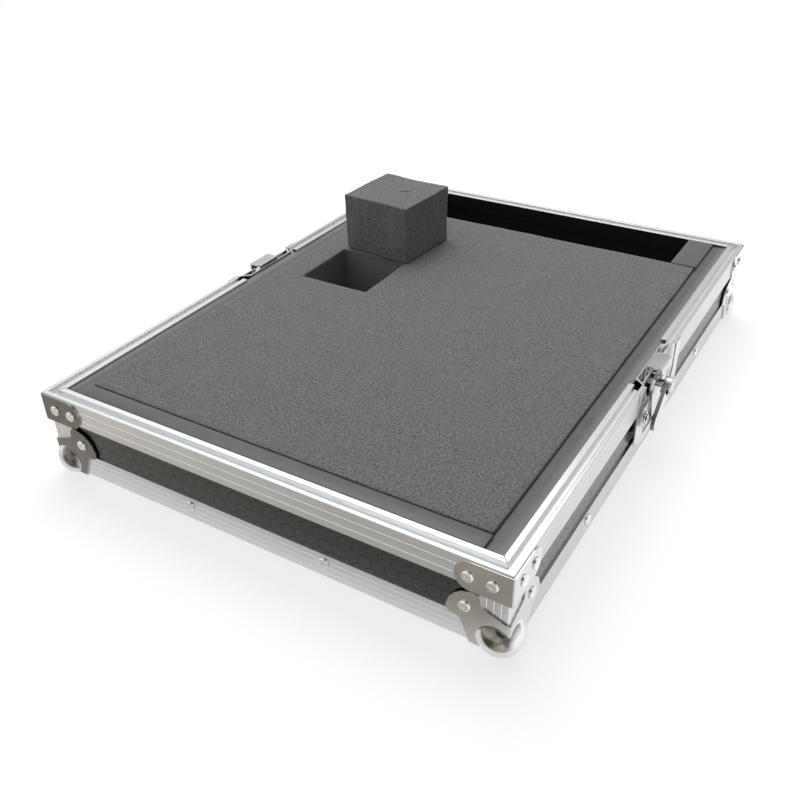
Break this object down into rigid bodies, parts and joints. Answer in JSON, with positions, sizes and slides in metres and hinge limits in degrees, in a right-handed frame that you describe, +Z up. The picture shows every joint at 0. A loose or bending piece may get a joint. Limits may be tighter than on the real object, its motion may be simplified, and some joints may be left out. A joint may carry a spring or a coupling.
{
  "type": "mixer flight case",
  "caption": "Shallow road case base tray for a mixing desk, with grooved aluminium rim, ball corners, recessed twist latches and pick-and-pluck foam.",
  "frame": {"origin": "centre of the footprint, on the floor under the ball corners", "axes": "+X to the right when seen from the front, +Y to the back along the longest side, +Z up"},
  "size_m": [0.466, 0.6038, 0.1454],
  "materials": {
    "laminate": "satin",
    "extrusion": "satin",
    "chrome_steel": "polished",
    "rivet_steel": "satin",
    "zinc_steel": "satin",
    "latch_steel": "polished",
    "pin_steel": "satin",
    "lining_foam": "matte",
    "black_foam": "matte",
    "pluck_foam": "matte"
  },
  "bodies": {
    "tray": {"base_panel": "laminate", "front_panel": "laminate", "back_panel": "laminate", "left_panel": "laminate", "right_panel": "laminate", "rim_front": "extrusion", "rim_back": "extrusion", "rim_left_front": "extrusion", "rim_left_rear": "extrusion", "rim_right_front": "extrusion", "rim_right_rear": "extrusion", "angle_front": "extrusion", "angle_back": "extrusion", "angle_left": "extrusion", "angle_right": "extrusion", "corner_angle_front_left": "extrusion", "corner_angle_front_right": "extrusion", "corner_angle_back_left": "extrusion", "corner_angle_back_right": "extrusion", "ball_corner_front_left": "chrome_steel", "ball_corner_front_right": "chrome_steel", "ball_corner_back_left": "chrome_steel", "ball_corner_back_right": "chrome_steel", "brace_front_left": "chrome_steel", "brace_front_right": "chrome_steel", "brace_back_left": "chrome_steel", "brace_back_right": "chrome_steel", "brace_rivets": "rivet_steel", "ball_corner_rivets": "rivet_steel", "edge_rivets": "rivet_steel", "latch_rivets": "rivet_steel", "right_dish": "zinc_steel", "right_bridge": "zinc_steel", "left_dish": "zinc_steel", "left_bridge": "zinc_steel", "foam_pad": "black_foam", "foam_strip_front": "lining_foam", "foam_strip_left": "lining_foam", "foam_strip_right": "lining_foam", "end_block_left": "lining_foam", "end_block_right": "lining_foam", "pluck_foam": "pluck_foam"},
    "plucked_block": {"plucked_block": "pluck_foam"},
    "right_handle": {"right_spindle": "latch_steel", "right_lever_pin": "pin_steel"},
    "right_lever": {"right_lever": "latch_steel"},
    "right_hook": {"right_hook": "latch_steel"},
    "left_handle": {"left_spindle": "latch_steel", "left_lever_pin": "pin_steel"},
    "left_lever": {"left_lever": "latch_steel"},
    "left_hook": {"left_hook": "latch_steel"}
  },
  "joints": [
    {"name": "block_lift", "type": "slide", "parent": "tray", "child": "plucked_block", "axis": [0, 0, 1], "range_m": [0, 0.08]},
    {"name": "right_handle_turn", "type": "hinge", "parent": "tray", "child": "right_handle", "pos_m": [0.22, 0.003, 0.0669], "axis": [1, 0, 0], "range_deg": [-43, 137]},
    {"name": "right_hook_slide", "type": "slide", "parent": "tray", "child": "right_hook", "axis": [0, 0, 1], "range_m": [-0.0069, 0.0022]},
    {"name": "right_lever_fold", "type": "hinge", "parent": "right_handle", "child": "right_lever", "pos_m": [0.2285, 0.00007, 0.06417], "axis": [0, -0.682, 0.7314], "range_deg": [0, 90]},
    {"name": "left_handle_turn", "type": "hinge", "parent": "tray", "child": "left_handle", "pos_m": [-0.22, 0.003, 0.0669], "axis": [1, 0, 0], "range_deg": [-43, 137]},
    {"name": "left_hook_slide", "type": "slide", "parent": "tray", "child": "left_hook", "axis": [0, 0, 1], "range_m": [-0.0069, 0.0022]},
    {"name": "left_lever_fold", "type": "hinge", "parent": "left_handle", "child": "left_lever", "pos_m": [-0.2285, 0.00007, 0.06417], "axis": [0, 0.682, -0.7314], "range_deg": [0, 90]}
  ],
  "couplings": [
    {"joint": "right_hook_slide", "follows": "right_handle_turn", "m_per_rad": -0.0028648},
    {"joint": "left_hook_slide", "follows": "left_handle_turn", "m_per_rad": -0.0028648}
  ]
}
